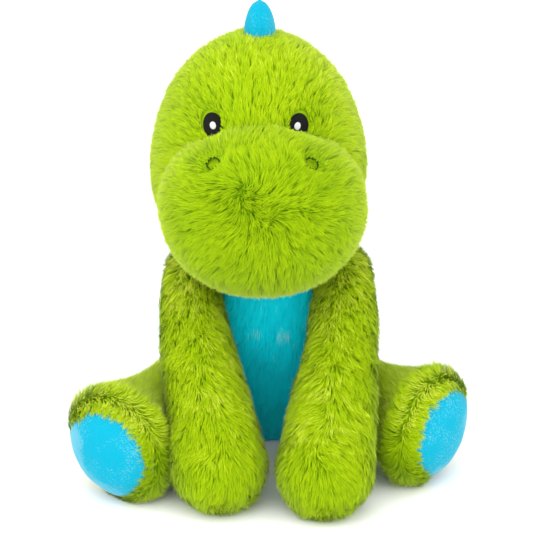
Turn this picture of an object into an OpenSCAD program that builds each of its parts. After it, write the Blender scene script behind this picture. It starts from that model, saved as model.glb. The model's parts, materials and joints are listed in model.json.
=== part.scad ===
// Seated plush dinosaur, sewn from fur covers over fibre fill.
// +Z is up, the face looks along -Y, and the seat rests on Z = 0 with the origin under the toy.
// Arms, legs and tail are closed pouches whose root is a ball in a matching hollow of the torso.
// Left and right are the toy's own, so its left arm is on the +X side.

/* [Head] */
// Half width of the skull
skull_half_w = 68; // [62:1:70]
// Half depth of the skull, front to back
skull_half_d = 70; // [64:1:72]
// Height of the crown above the widest part of the skull
skull_half_h = 88; // [82:1:90]
// Height of the widest part of the skull
skull_z = 188; // [186:1:192]
// Half width of the muzzle
muzzle_half_w = 63; // [56:1:65]
// Half depth of the muzzle, front to back
muzzle_half_d = 54; // [48:1:56]
// Half height of the muzzle
muzzle_half_h = 53; // [48:1:55]
// How far the muzzle sits off the middle, towards the toy's left
muzzle_shift = 3; // [0:1:6]

/* [Torso] */
// Half width of the torso at its widest
torso_half_w = 63; // [58:1:65]
// Half depth of the torso at its widest
torso_half_d = 50; // [46:1:52]
// Height of the torso
torso_h = 138; // [134:1:140]

/* [Arms] */
// Radius of the ball at the shoulder
shoulder_r = 15; // [13:1:17]
// Radius of the paw
paw_r = 28; // [24:1:29]

/* [Legs] */
// Radius of the ball at the hip
hip_r = 30; // [27:1:31]
// Half height of the foot
foot_half_h = 38; // [33:1:39]
// Half width of the foot
foot_half_w = 31; // [27:1:32]
// Angle that the left sole is turned outwards, in degrees
left_foot_turn = 44; // [40:1:50]
// Angle that the right sole is turned outwards, in degrees
right_foot_turn = 20; // [15:1:30]

/* [Tail and spikes] */
// Radius of the ball at the root of the tail
tail_r = 24; // [22:1:25]
// Length of the tail behind its ball
tail_length = 100; // [80:1:110]
// Height of the largest spike
spike_h = 24; // [20:1:28]

/* [Fabric] */
// Thickness of a fur cover, its backing and its pressed pile
cover_t = 4; // [3:0.5:5]
// Thickness of the short smooth fabric of the soles and spikes
smooth_t = 2.5; // [2:0.5:3]

/* [Hidden] */

fur_green = "yellowgreen";
fur_blue = "deepskyblue";
smooth_blue = "skyblue";
fill_white = "white";

left = 1;
right = -1;
fit = 0.1;          // gap between a cover and the filling inside it
socket_gap = 1.5;   // gap between a ball and the hollow that it sits in

// Torso: an egg with a flat seat, its middle line leaning forward towards the neck
torso_belly_z = 50;
torso_low_half_h = 62;
torso_y = 20;
torso_lean = -8;
torso_boxy = 0.8;
torso_top = 87;         // latitude of the last row of points under the top of the torso
seat_r = 30;
belly_half_w = 46;
belly_half_h = 77;
pouch_at = [0, 8, 21];
pouch_half = [12, 22, 14];

// Trim of the torso: latitudes and turns in degrees, measured round from the +X side
closing_turn = 118;
stitches = 7;
stitch_from = 2;
stitch_step = 4;
stitch_w = 4.5;
label_turn = 50;
label_size = [20, 0.8, 13];
label_hem = 4;          // part of the label inside the seam

// Pivots of the joints
shoulder = [51, -2, 118];
hip = [48, -4, 31];
tail_root = [0, 62, 30];
neck = [-3, 17, 127];
neck_r = 20;
neck_top_z = neck[2] + neck_r;
neck_room_h = 50;       // depth of the room round the neck below its ball's middle

// Head
skull_low_half_h = 75;
skull = [-6.5, 14, skull_z];
muzzle_y = -44;
muzzle_drop = 11;       // middle of the muzzle below the widest part of the skull
muzzle = [skull[0] + muzzle_shift, muzzle_y, skull_z - muzzle_drop];
muzzle_boxy = 0.98;
eye_at = [27.4, 43.2];    // sideways from the middle of the skull, and above it
eye_half = [8.6, 6.7];
highlight_half = [2.6, 2.3];
nostril_at = [31, 38];
nostril_r = 4.3;
thread = 1.1;
embroidery_t = 0.8;
eye_post = 6;           // half height of the post that cuts an eye out of the skull's surface

// Spikes: place along the middle line, and size against the largest one
spike_half_w = 11;
spike_half_d = 13.5;
spike_root = 25;        // latitude of the cut below the widest part of a spike
spike_shift = 1;
head_spikes = [[0, 1], [42, 0.95], [82, 0.85]];
back_spikes = [[46, 0.85], [20, 0.75]];
tail_spikes = [[0.36, 0.65], [0.78, 0.5]];

// Ends of the limbs at rest, and the control points that their curves are drawn towards
elbow = [53, -46, 104];
left_paw = [35.5, -117.5, 28.2];
right_paw = [-31, -111, 28.2];
left_foot = [102, -72, 36.8];
right_foot = [-95, -99, 36.8];
arm_middle_r = 19;      // pull on the radius of the arm halfway along it
foot_roll = 30;
leg_narrow_r = 14;      // pull on the radius of the leg halfway along it
foot_bend = 40;         // how far the leg runs straight behind its sole
sole_depth = 25;        // how far the rounded end of a foot stands out
sole_from = 0.5;        // share of that end where the sole starts

// ---- Curves and surfaces ----
function bend(p, t) = (1 - t) * (1 - t) * p[0] + 2 * t * (1 - t) * p[1] + t * t * p[2];
function slope(p, t) = 2 * (1 - t) * (p[1] - p[0]) + 2 * t * (p[2] - p[1]);
function unit(v) = v / norm(v);
function mirrored(v, side) = [side * v[0], v[1], v[2]];

// Closed surface over rows of points; the end rows close onto the points first and last
module skin(rows, first, last) {
    n = len(rows[0]);
    m = len(rows);
    walls = [for (i = [0:m - 2], j = [0:n - 1])
        let (a = i * n + j, b = i * n + (j + 1) % n)
        each [[a, b + n, b], [a, a + n, b + n]]];
    caps = [for (j = [0:n - 1])
        let (k = (j + 1) % n)
        each [[m * n, j, k], [m * n + 1, (m - 1) * n + k, (m - 1) * n + j]]];
    polyhedron(concat([for (row = rows) each row], [first, last]), concat(walls, caps));
}

function boxy(v, power) = sign(v) * pow(abs(v), power);
// Egg about a middle point: half sizes, another half height below the middle if given,
// the latitude where its bottom is cut flat, and a power under 1 that makes it boxier
module egg(middle, half, low = 0, cut = -90, power = 1, columns = 24, count = 14) {
    down = low > 0 ? low : half[2];
    from = cut > -90 ? cut : -90 + 90 / count;
    to = 90 - 90 / count;
    rows = [for (i = [0:count - 1])
        let (b = from + (to - from) * i / (count - 1))
        [for (j = [0:columns - 1])
            let (a = 360 * j / columns)
            middle + [
                half[0] * boxy(cos(b), power) * boxy(cos(a), power),
                half[1] * boxy(cos(b), power) * boxy(sin(a), power),
                (b > 0 ? half[2] : down) * boxy(sin(b), power)]]];
    skin(rows, middle + [0, 0, cut > -90 ? down * sin(cut) : -down], middle + [0, 0, half[2]]);
}

// Limb along a bent path: a ball round the first point, oval sections, and a rounded end.
// path, widths and heights are the three control values of a quadratic curve.
function limb_ring(path, t, w, h, shift, roll, columns) =
    let (ahead = unit(slope(path, t)), across = unit(cross([0, 0, 1], ahead)), up = cross(ahead, across))
    [for (j = [0:columns - 1])
        let (a = 360 * j / columns, u = w * cos(a), v = h * sin(a))
        bend(path, t) + ahead * shift
            + across * (u * cos(roll) - v * sin(roll)) + up * (u * sin(roll) + v * cos(roll))];
module limb(path, widths, heights, tip, roll = 0, columns = 16, body = 7, cap = 3) {
    r = widths[0];
    start = [for (i = [1:cap])
        let (b = -90 + 90 * (i - 0.35) / cap)
        limb_ring(path, 0, r * cos(b), r * cos(b), r * sin(b), 0, columns)];
    middle = [for (i = [0:body])
        let (t = i / body)
        limb_ring(path, t, bend(widths, t), bend(heights, t), 0, roll * t, columns)];
    end = [for (i = [1:cap])
        let (b = 90 * (i - 0.35) / cap)
        limb_ring(path, 1, widths[2] * cos(b), heights[2] * cos(b), tip * sin(b), roll, columns)];
    skin(concat(start, middle, end),
        path[0] - unit(slope(path, 0)) * r, path[2] + unit(slope(path, 1)) * tip);
}

// ---- Torso ----
// Point of the torso at latitude b and longitude a, on a form inset by a wall thickness
function torso_point(b, a, inset = 0) =
    let (spread = pow(cos(b), torso_boxy), rise = b > 0 ? torso_h - torso_belly_z - inset : torso_low_half_h)
    [(torso_half_w - inset) * spread * cos(a),
        torso_y + torso_lean * max(0, sin(b)) + (torso_half_d - inset) * spread * sin(a),
        torso_belly_z + rise * sin(b)];
module torso_form(inset = 0) {
    count = 14;
    columns = 24;
    from = -asin((torso_belly_z - max(0, inset)) / torso_low_half_h);
    rows = [for (i = [0:count - 1])
        let (b = from + (torso_top - from) * i / (count - 1))
        [for (j = [0:columns - 1]) torso_point(b, 360 * j / columns, inset)]];
    skin(rows, [0, torso_y, max(0, inset)], torso_point(90, 0, inset));
}
module ball(at, r) {
    egg(at, [r, r, r], columns = 18, count = 9);
}
// Hollows that the neck, limbs and tail sit in; the arms also press a groove into the chest
module hollows(grow) {
    for (side = [left, right]) {
        arm_form(side, socket_gap + grow);
        ball(mirrored(hip, side), hip_r + socket_gap + grow);
    }
    ball(tail_root, tail_r + socket_gap + grow);
    ball(neck, neck_r + socket_gap + grow);
}
module torso_shell() {
    difference() {
        torso_form();
        hollows(0);
        difference() {
            torso_form(cover_t);
            hollows(cover_t);
        }
    }
}
module belly_outline() {
    // Runs through the front wall of the torso and stops inside it
    translate([0, -2 * torso_half_d, cover_t + belly_half_h]) rotate([-90, 0, 0])
        linear_extrude(2 * torso_half_d + torso_y / 2) scale([belly_half_w, belly_half_h])
            circle(r = 1, $fn = 36);
}
module torso_cover() {
    color(fur_green) difference() {
        torso_shell();
        belly_outline();
        translate([0, torso_y, -1]) cylinder(h = cover_t + 2, r = seat_r + fit, $fn = 48);
    }
}
module belly_panel() {
    color(fur_blue) intersection() {
        torso_shell();
        belly_outline();
    }
}
module seat_panel() {
    color(fur_green) translate([0, torso_y, 0]) cylinder(h = cover_t, r = seat_r, $fn = 48);
}
module bean_pouch(grow = 0) {
    color("wheat") egg(pouch_at, pouch_half + [grow, grow, grow], columns = 14, count = 7);
}
module torso_stuffing() {
    color(fill_white) difference() {
        torso_form(cover_t + fit);
        hollows(cover_t + fit);
        bean_pouch(fit);
    }
}

module closing_seam() {
    // Ladder stitches across the seam that was left open for the filling
    color("olivedrab") difference() {
        for (i = [0:stitches - 1]) {
            b = stitch_from + stitch_step * i;
            translate(torso_point(b, closing_turn)) rotate([0, 0, closing_turn - 90])
                cube([stitch_w, 2 * thread, thread], center = true);
        }
        torso_form();
    }
}
module side_label() {
    // Blank fabric tag sewn into the side seam
    color("white") difference() {
        translate(torso_point(0, label_turn)) rotate([0, 0, label_turn])
            translate([-label_hem, -label_size[1] / 2, -label_size[2] / 2]) cube(label_size);
        torso_form();
    }
}

// ---- Neck ----
module neck_cover() {
    color(fur_green) difference() {
        ball(neck, neck_r);
        ball(neck, neck_r - cover_t);
    }
}
module neck_stuffing() {
    color(fill_white) ball(neck, neck_r - cover_t - fit);
}
// Room round the neck, about the axis that the head turns on
module neck_room(grow = 0) {
    translate([neck[0], neck[1], neck[2] - neck_room_h])
        cylinder(h = neck_room_h + neck_r + socket_gap + grow, r = neck_r + 1 + grow, $fn = 12);
}

// ---- Head ----
module skull_form(grow = 0) {
    cut = -asin((skull_z - neck_top_z - socket_gap + min(grow, 0)) / (skull_low_half_h + grow));
    egg(skull, [skull_half_w + grow, skull_half_d + grow, skull_half_h + grow],
        low = skull_low_half_h + grow, cut = cut, columns = 26, count = 14);
}
module muzzle_form(grow = 0) {
    egg(muzzle, [muzzle_half_w + grow, muzzle_half_d + grow, muzzle_half_h + grow],
        power = muzzle_boxy, columns = 24, count = 12);
}
module head_cover() {
    color(fur_green) difference() {
        skull_form();
        skull_form(-cover_t);
        muzzle_form(-cover_t);
    }
}
module muzzle_cover() {
    color(fur_green) difference() {
        muzzle_form();
        muzzle_form(-cover_t);
        skull_form();
        neck_room();
    }
}
module head_stuffing() {
    color(fill_white) difference() {
        union() {
            skull_form(-cover_t - fit);
            muzzle_form(-cover_t - fit);
        }
        neck_room(cover_t + fit);
    }
}

// Place and outward direction on an egg, at given offsets sideways and upwards, on its front
function front_point(half, at, power) =
    let (n = 2 / power, y = pow(1 - pow(abs(at[0]) / half[0], n) - pow(abs(at[1]) / half[2], n), 1 / n))
    [at[0], -half[1] * y, at[1]];
function outward(half, at, power) =
    let (p = front_point(half, at, power), n = 2 / power - 1)
    unit([for (i = [0:2]) sign(p[i]) * pow(abs(p[i]) / half[i], n) / half[i]]);
// Children standing on a surface point, with their Z axis along the outward direction
module stand(at, direction) {
    translate(at)
        rotate([0, acos(direction[2]), atan2(direction[1], direction[0])])
            children();
}
module eye_place(side) {
    half = [skull_half_w, skull_half_d, skull_half_h];
    at = [side * eye_at[0], eye_at[1]];
    stand(skull + front_point(half, at, 1), outward(half, at, 1)) children();
}
module oval_post(half, h) {
    linear_extrude(2 * h, center = true) scale(half) circle(r = 1, $fn = 28);
}
module eye(side) {
    color("black") intersection() {
        eye_place(side) oval_post(eye_half, eye_post);
        difference() {
            skull_form(embroidery_t);
            skull_form();
            muzzle_form();
        }
    }
}
module eye_highlight(side) {
    color("white") intersection() {
        eye_place(side) translate([-thread, 0, 0]) oval_post(highlight_half, eye_post);
        difference() {
            skull_form(2 * embroidery_t);
            skull_form(embroidery_t);
            muzzle_form();
        }
    }
}
module nostril(side) {
    half = [muzzle_half_w, muzzle_half_d, muzzle_half_h];
    at = [side * nostril_at[0], nostril_at[1]];
    color("darkgreen") intersection() {
        stand(muzzle + front_point(half, at, muzzle_boxy), outward(half, at, muzzle_boxy))
            linear_extrude(2 * eye_post, center = true) difference() {
                circle(r = nostril_r + thread / 2, $fn = 28);
                circle(r = nostril_r - thread / 2, $fn = 28);
            }
        difference() {
            muzzle_form(thread);
            muzzle_form();
        }
    }
}

// ---- Spikes ----
// A spike is half an egg that stands on a surface; size is its share of the largest one
module spike_form(at, direction, size, grow = 0) {
    half = size * [spike_half_w, spike_half_d, spike_h] + [grow, grow, grow];
    translate(at) rotate([-atan2(direction[1], direction[2]), 0, 0])
        egg([0, 0, 0], half, cut = -spike_root, columns = 12, count = 6);
}
// Angle back from the crown, and size, of each spike of the head
function head_spike_at(i) =
    skull + [spike_shift, skull_half_d * sin(head_spikes[i][0]), skull_half_h * cos(head_spikes[i][0])];
function head_spike_out(i) =
    unit([0, sin(head_spikes[i][0]) / skull_half_d, cos(head_spikes[i][0]) / skull_half_h]);
module head_spike(i, grow = 0, base = 0) {
    difference() {
        spike_form(head_spike_at(i), head_spike_out(i), head_spikes[i][1], grow);
        skull_form(base);
    }
}
function back_spike_at(i) = torso_point(back_spikes[i][0], 90);
function back_spike_out(i) =
    let (b = back_spikes[i][0])
    unit([0, cos(b) / torso_half_d, sin(b) / (torso_h - torso_belly_z)]);
module back_spike(i, grow = 0, base = 0) {
    difference() {
        spike_form(back_spike_at(i), back_spike_out(i), back_spikes[i][1], grow);
        torso_form(-base);
    }
}
module tail_spike(i, grow = 0, base = 0) {
    t = tail_spikes[i][0];
    ahead = unit(slope(tail_path, t));
    up = unit(cross([1, 0, 0], ahead));
    difference() {
        spike_form(bend(tail_path, t) + up * bend(tail_radii, t), up, tail_spikes[i][1], grow);
        tail_form(base);
    }
}
module head_spike_cover(i) {
    color(smooth_blue) difference() {
        head_spike(i);
        head_spike(i, -smooth_t, -1);
    }
}
module head_spike_stuffing() {
    color(fill_white) for (i = [0:len(head_spikes) - 1]) head_spike(i, -smooth_t - fit, fit);
}
module back_spike_cover(i) {
    color(smooth_blue) difference() {
        back_spike(i);
        back_spike(i, -smooth_t, -1);
    }
}
module back_spike_stuffing() {
    color(fill_white) for (i = [0:len(back_spikes) - 1]) back_spike(i, -smooth_t - fit, fit);
}
module tail_spike_cover(i) {
    color(smooth_blue) difference() {
        tail_spike(i);
        tail_spike(i, -smooth_t, -1);
    }
}
module tail_spike_stuffing() {
    color(fill_white) for (i = [0:len(tail_spikes) - 1]) tail_spike(i, -smooth_t - fit, fit);
}

// ---- Arms ----
function arm_path(side) = [
    mirrored(shoulder, side),
    mirrored(elbow, side),
    side == left ? left_paw : right_paw
];
module arm_form(side, grow = 0) {
    r = [shoulder_r + grow, arm_middle_r + grow, paw_r + grow];
    limb(arm_path(side), r, r, paw_r + grow);
}
module arm_cover(side) {
    color(fur_green) difference() {
        arm_form(side);
        arm_form(side, -cover_t);
    }
}
module arm_stuffing(side) {
    color(fill_white) arm_form(side, -cover_t - fit);
}

// ---- Legs ----
function foot_turn(side) = side == left ? left_foot_turn : right_foot_turn;
function leg_path(side) =
    let (end = side == left ? left_foot : right_foot, turn = foot_turn(side))
    [mirrored(hip, side), end - foot_bend * [side * sin(turn), -cos(turn), 0], end];
module leg_form(side, grow = 0) {
    limb(leg_path(side), [hip_r + grow, leg_narrow_r + grow, foot_half_w + grow],
        [hip_r + grow, leg_narrow_r + 2 + grow, foot_half_h + grow], sole_depth + grow, roll = -side * foot_roll);
}
// Everything of the foot beyond the seam of its sole
module sole_side(side) {
    size = 2 * foot_half_w;
    translate(leg_path(side)[2]) rotate([0, 0, side * foot_turn(side)])
        translate([-size, -sole_depth * sole_from - size, -size]) cube([2 * size, size, 2 * size]);
}
module leg_cover(side) {
    color(fur_green) difference() {
        leg_form(side);
        leg_form(side, -cover_t);
        sole_side(side);
    }
}
module leg_sole(side) {
    color(smooth_blue) difference() {
        intersection() {
            leg_form(side);
            sole_side(side);
        }
        leg_form(side, -smooth_t);
    }
}
module leg_stuffing(side) {
    color(fill_white) leg_form(side, -cover_t - fit);
}

// ---- Tail ----
tail_tip_r = 11;
tail_waist = 9;         // pull on the radius of the tail halfway along it
tail_sag = 4;           // pull on the middle of the tail towards the ground
tail_tip_z = 15;
tail_path = [
    tail_root,
    tail_root + [0, tail_length / 2, -tail_sag],
    [0, tail_root[1] + tail_length, tail_tip_z]
];
tail_radii = [tail_r, tail_r - tail_waist, tail_tip_r];
module tail_form(grow = 0) {
    r = [for (v = tail_radii) v + grow];
    limb(tail_path, r, r, tail_tip_r + grow);
}
module tail_cover() {
    color(fur_green) difference() {
        tail_form();
        tail_form(-cover_t);
    }
}
module tail_stuffing() {
    color(fill_white) tail_form(-cover_t - fit);
}

torso_cover();
belly_panel();
seat_panel();
torso_stuffing();
bean_pouch();
closing_seam();
side_label();
neck_cover();
neck_stuffing();
head_cover();
muzzle_cover();
head_stuffing();
eye(left);  // left_eye
eye(right);  // right_eye
eye_highlight(left);  // left_eye_highlight
eye_highlight(right);  // right_eye_highlight
nostril(left);  // left_nostril
nostril(right);  // right_nostril
head_spike_cover(0);  // head_spike_1
head_spike_cover(1);  // head_spike_2
head_spike_cover(2);  // head_spike_3
head_spike_stuffing();
back_spike_cover(0);  // back_spike_1
back_spike_cover(1);  // back_spike_2
back_spike_stuffing();
arm_cover(left);  // left_arm_cover
arm_stuffing(left);  // left_arm_stuffing
arm_cover(right);  // right_arm_cover
arm_stuffing(right);  // right_arm_stuffing
leg_cover(left);  // left_leg_cover
leg_sole(left);  // left_leg_sole
leg_stuffing(left);  // left_leg_stuffing
leg_cover(right);  // right_leg_cover
leg_sole(right);  // right_leg_sole
leg_stuffing(right);  // right_leg_stuffing
tail_cover();
tail_stuffing();
tail_spike_cover(0);  // tail_spike_1
tail_spike_cover(1);  // tail_spike_2
tail_spike_stuffing();
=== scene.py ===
import itertools
import json
import math

import bpy
import numpy as np
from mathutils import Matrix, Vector


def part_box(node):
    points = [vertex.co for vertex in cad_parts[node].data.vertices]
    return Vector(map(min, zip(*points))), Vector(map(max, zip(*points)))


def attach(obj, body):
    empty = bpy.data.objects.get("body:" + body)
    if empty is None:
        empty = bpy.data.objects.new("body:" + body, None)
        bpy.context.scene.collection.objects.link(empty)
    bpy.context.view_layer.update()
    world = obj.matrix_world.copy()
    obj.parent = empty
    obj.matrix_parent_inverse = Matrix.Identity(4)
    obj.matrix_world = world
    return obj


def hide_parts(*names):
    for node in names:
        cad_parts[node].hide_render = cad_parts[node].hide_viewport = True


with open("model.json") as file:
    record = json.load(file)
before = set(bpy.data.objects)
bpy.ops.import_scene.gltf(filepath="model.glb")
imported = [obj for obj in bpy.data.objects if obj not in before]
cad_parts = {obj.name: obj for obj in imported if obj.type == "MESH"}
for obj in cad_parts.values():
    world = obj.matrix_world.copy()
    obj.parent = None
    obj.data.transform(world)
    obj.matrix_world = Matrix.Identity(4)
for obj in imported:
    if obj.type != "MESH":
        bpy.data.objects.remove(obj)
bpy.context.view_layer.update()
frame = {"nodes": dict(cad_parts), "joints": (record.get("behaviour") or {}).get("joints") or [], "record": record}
pivots = {joint["name"]: np.array(joint["pos_m"]) for joint in frame["joints"]}
left, right = 1, -1     # the toy's own sides; its left is on +X
bothSides = ((left, "left"), (right, "right"))
clothDepth = 0.0015     # the cloth under the pile lies this far inside the CAD surface
floorGap = 0.0004       # lowest point that a hair or a cloth reaches
strandShare = 1.0


# small vector and noise tools

def unit(v):
    return v / np.maximum(np.linalg.norm(v, axis=-1, keepdims=True), 1e-12)


def dot(a, b):
    return (a * b).sum(-1, keepdims=True)


def smoothStep(x, low, high):
    t = np.clip((x - low) / (high - low), 0, 1)
    return t * t * (3 - 2 * t)


def hashed(cells, seed):
    # repeatable number from 0 to 1 for each cell, from its whole-number corner
    c = cells.astype(np.int64)
    h = c[..., 0] * 73856093 ^ c[..., 1] * 19349663 ^ c[..., 2] * 83492791 ^ (seed * 7919 + 17)
    h = (h ^ (h >> 13)) * 1274126177
    h = h ^ (h >> 16)
    return (h & 0xFFFFFF) / 0xFFFFFF


def noise(points, size, seed):
    # value noise from -1 to 1: the hashed corners of a cell, blended by smoothsteps
    p = points / size
    base = np.floor(p)
    f = p - base
    f = f * f * (3 - 2 * f)
    total = np.zeros(len(points))
    for corner in itertools.product((0, 1), repeat=3):
        share = np.prod(np.where(np.array(corner), f, 1 - f), axis=1)
        total += share * hashed(base + corner, seed)
    return 2 * total - 1


def noiseVectors(points, size, seed):
    return np.stack([noise(points, size, seed + k) for k in range(3)], axis=1)


def nearestCentre(points, size, seed):
    # one scattered centre in each cell of a grid; for each point the closest of them and its distance
    base = np.floor(points / size)
    best = np.full(len(points), 1e9)
    found = np.zeros_like(points)
    for step in itertools.product((-1, 0, 1), repeat=3):
        cell = base + step
        spread = np.stack([hashed(cell, seed + k) for k in range(3)], axis=1)
        centre = (cell + 0.1 + 0.8 * spread) * size
        gap = ((centre - points) ** 2).sum(1)
        near = gap < best
        best[near] = gap[near]
        found[near] = centre[near]
    return found, np.sqrt(best)


# surfaces: rings of points between two poles

def boxy(v, power):
    return np.sign(v) * np.abs(v) ** power


def ringSurface(rings, first, last):
    # closed triangles over rings (rows, columns, 3) and the two end points, facing outwards
    rows, columns = rings.shape[:2]
    points = np.concatenate([rings.reshape(-1, 3), [first], [last]])
    i, j = np.meshgrid(np.arange(rows - 1), np.arange(columns), indexing="ij")
    a = (i * columns + j).ravel()
    b = (i * columns + (j + 1) % columns).ravel()
    j = np.arange(columns)
    k = (j + 1) % columns
    n = rows * columns
    triangles = np.concatenate([
        np.stack([a, b, b + columns], 1),
        np.stack([a, b + columns, a + columns], 1),
        np.stack([np.full(columns, n), k, j], 1),
        np.stack([np.full(columns, n + 1), n - columns + j, n - columns + k], 1),
    ])
    return points, triangles


def eggSurface(shape, grow=0.0, rows=100, columns=140, lowest=-90):
    # middle + half sizes times powers of cosine and sine of latitude b and longitude a;
    # below the middle the height is shape["low"]
    half = np.array(shape["half"]) + grow
    low = shape.get("low", shape["half"][2]) + grow
    power = shape.get("power", 1)
    edge = 90 / rows
    b = np.radians(np.linspace(max(lowest, -90 + edge), 90 - edge, rows))[:, None]
    a = np.linspace(0, 2 * math.pi, columns, endpoint=False)[None, :]
    spread = np.cos(b) ** power
    z = np.where(b > 0, half[2], low) * boxy(np.sin(b), power) * np.ones_like(a)
    rings = np.stack([half[0] * spread * boxy(np.cos(a), power),
                      half[1] * spread * boxy(np.sin(a), power), z], axis=-1) + shape["middle"]
    first = shape["middle"] + np.array([0, 0, z[0, 0] if lowest > -90 else -low])
    return ringSurface(rings, first, shape["middle"] + np.array([0, 0, half[2]]))


def eggDepth(p, shape):
    # about how far points lie inside an egg, in metres; negative outside
    half = np.array(shape["half"])
    low = shape.get("low", half[2])
    q = (p - shape["middle"]) / half
    q[:, 2] = np.where(q[:, 2] > 0, q[:, 2], q[:, 2] * half[2] / low)
    n = 2 / shape.get("power", 1)
    size = (np.abs(q) ** n).sum(1) ** (1 / n)
    return (1 - size) * half.min()


def bend(p, t):
    # quadratic curve through three control values
    return (1 - t) ** 2 * p[0] + 2 * t * (1 - t) * p[1] + t ** 2 * p[2]


def slope(p, t):
    # how that curve changes with t
    return 2 * (1 - t) * (p[1] - p[0]) + 2 * t * (p[2] - p[1])


def limbRings(limb, t, shift, shrink, grow, columns):
    # oval sections square to the path, rolled round it, and shifted along it on the two ends
    path = limb["path"]
    t, shift, shrink = (x[:, None, None] for x in (t, shift, shrink))
    a = np.linspace(0, 2 * math.pi, columns, endpoint=False)[None, :, None]
    ahead = unit(slope(path, t))
    across = unit(np.cross([0, 0, 1], ahead))
    up = np.cross(ahead, across)
    roll = np.radians(limb.get("roll", 0)) * t
    u = (bend(limb["widths"], t) + grow) * shrink * np.cos(a)
    v = (bend(limb["heights"], t) + grow) * shrink * np.sin(a)
    return (bend(path, t) + ahead * shift + across * (u * np.cos(roll) - v * np.sin(roll))
            + up * (u * np.sin(roll) + v * np.cos(roll)))


def limbSurface(limb, grow=0.0, body=90, cap=24, columns=96):
    # half a ball behind the first point, the bent body, and a rounded end
    path, tip = limb["path"], limb["tip"] + grow
    r = limb["widths"][0] + grow
    root = np.radians(np.linspace(-90 + 90 / cap, 0, cap, endpoint=False))
    end = np.radians(np.linspace(90 / cap, 90 - 90 / cap, cap))
    t = np.linspace(0, 1, body)
    rings = np.concatenate([
        limbRings(limb, np.zeros(cap), r * np.sin(root), np.cos(root), grow, columns),
        limbRings(limb, t, np.zeros(body), np.ones(body), grow, columns),
        limbRings(limb, np.ones(cap), tip * np.sin(end), np.cos(end), grow, columns),
    ])
    return ringSurface(rings, path[0] - unit(slope(path, 0.0)) * r, path[2] + unit(slope(path, 1.0)) * tip)


def limbDepth(p, limb):
    # how far points lie inside a limb: its radius less the distance to the nearest of many path points
    deepest = np.full(len(p), -1.0)
    for t in np.linspace(0, 1, 30):
        radius = (bend(limb["widths"], t) + bend(limb["heights"], t)) / 2
        deepest = np.maximum(deepest, radius - np.linalg.norm(p - bend(limb["path"], t), axis=1))
    return deepest


# meshes and materials

def newMesh(name, points, triangles, material, smooth=True):
    mesh = bpy.data.meshes.new(name)
    mesh.vertices.add(len(points))
    mesh.vertices.foreach_set("co", np.asarray(points, np.float32).ravel())
    mesh.loops.add(triangles.size)
    mesh.loops.foreach_set("vertex_index", np.asarray(triangles, np.int32).ravel())
    mesh.polygons.add(len(triangles))
    mesh.polygons.foreach_set("loop_start", np.arange(0, triangles.size, 3, dtype=np.int32))
    mesh.update(calc_edges=True)
    mesh.polygons.foreach_set("use_smooth", np.full(len(triangles), smooth))
    mesh.materials.append(material)
    piece = bpy.data.objects.new(name, mesh)
    bpy.context.scene.collection.objects.link(piece)
    return piece


def vertexNormals(points, triangles):
    # each corner's share of the cross products of its triangles
    a, b, c = (points[triangles[:, k]] for k in range(3))
    face = np.cross(b - a, c - a)
    total = np.zeros_like(points)
    for k in range(3):
        for axis in range(3):
            total[:, axis] += np.bincount(triangles[:, k], face[:, axis], len(points))
    return unit(total)


class Nodes:
    # short way to add and join shader nodes in one material
    def __init__(self, name):
        self.material = bpy.data.materials.new(name)
        self.material.use_nodes = True
        self.tree = self.material.node_tree
        self.shader = self.tree.nodes["Principled BSDF"]

    def add(self, kind, settings=None, **inputs):
        node = self.tree.nodes.new(kind)
        for key, value in (settings or {}).items():
            setattr(node, key, value)
        for key, value in inputs.items():
            self.feed(node.inputs[key.replace("_", " ")], value)
        return node

    def feed(self, socket, value):
        if isinstance(value, bpy.types.NodeSocket):
            self.tree.links.new(value, socket)
        else:
            socket.default_value = value

    def ramp(self, factor, stops):
        node = self.add("ShaderNodeValToRGB", Fac=factor)
        points = node.color_ramp.elements
        while len(points) < len(stops):
            points.new(0.5)
        for point, (place, colour) in zip(points, stops):
            point.position = place
            point.color = (*colour, 1)
        return node.outputs["Color"]

    def greyRamp(self, factor, *stops):
        return self.ramp(factor, [(place, (grey, grey, grey)) for place, grey in stops])

    def mix(self, factor, a, b, how="MIX"):
        node = self.tree.nodes.new("ShaderNodeMix")
        node.data_type = "RGBA"
        node.blend_type = how
        for index, value in ((0, factor), (6, a), (7, b)):
            self.feed(node.inputs[index], (*value, 1) if isinstance(value, tuple) else value)
        return node.outputs[2]

    def objectPoint(self):
        return self.add("ShaderNodeTexCoord").outputs["Object"]

    def noise(self, scale, detail=3.0, roughness=0.5, where=None):
        node = self.add("ShaderNodeTexNoise", Vector=where or self.objectPoint(), Scale=scale,
                        Detail=detail, Roughness=roughness)
        return node.outputs["Fac"]

    def bump(self, height, distance, strength=1.0):
        node = self.add("ShaderNodeBump", Height=height, Distance=distance, Strength=strength)
        return node.outputs["Normal"]

    def set(self, **inputs):
        for key, value in inputs.items():
            self.feed(self.shader.inputs[key.replace("_", " ")], value)
        return self.material


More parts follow.
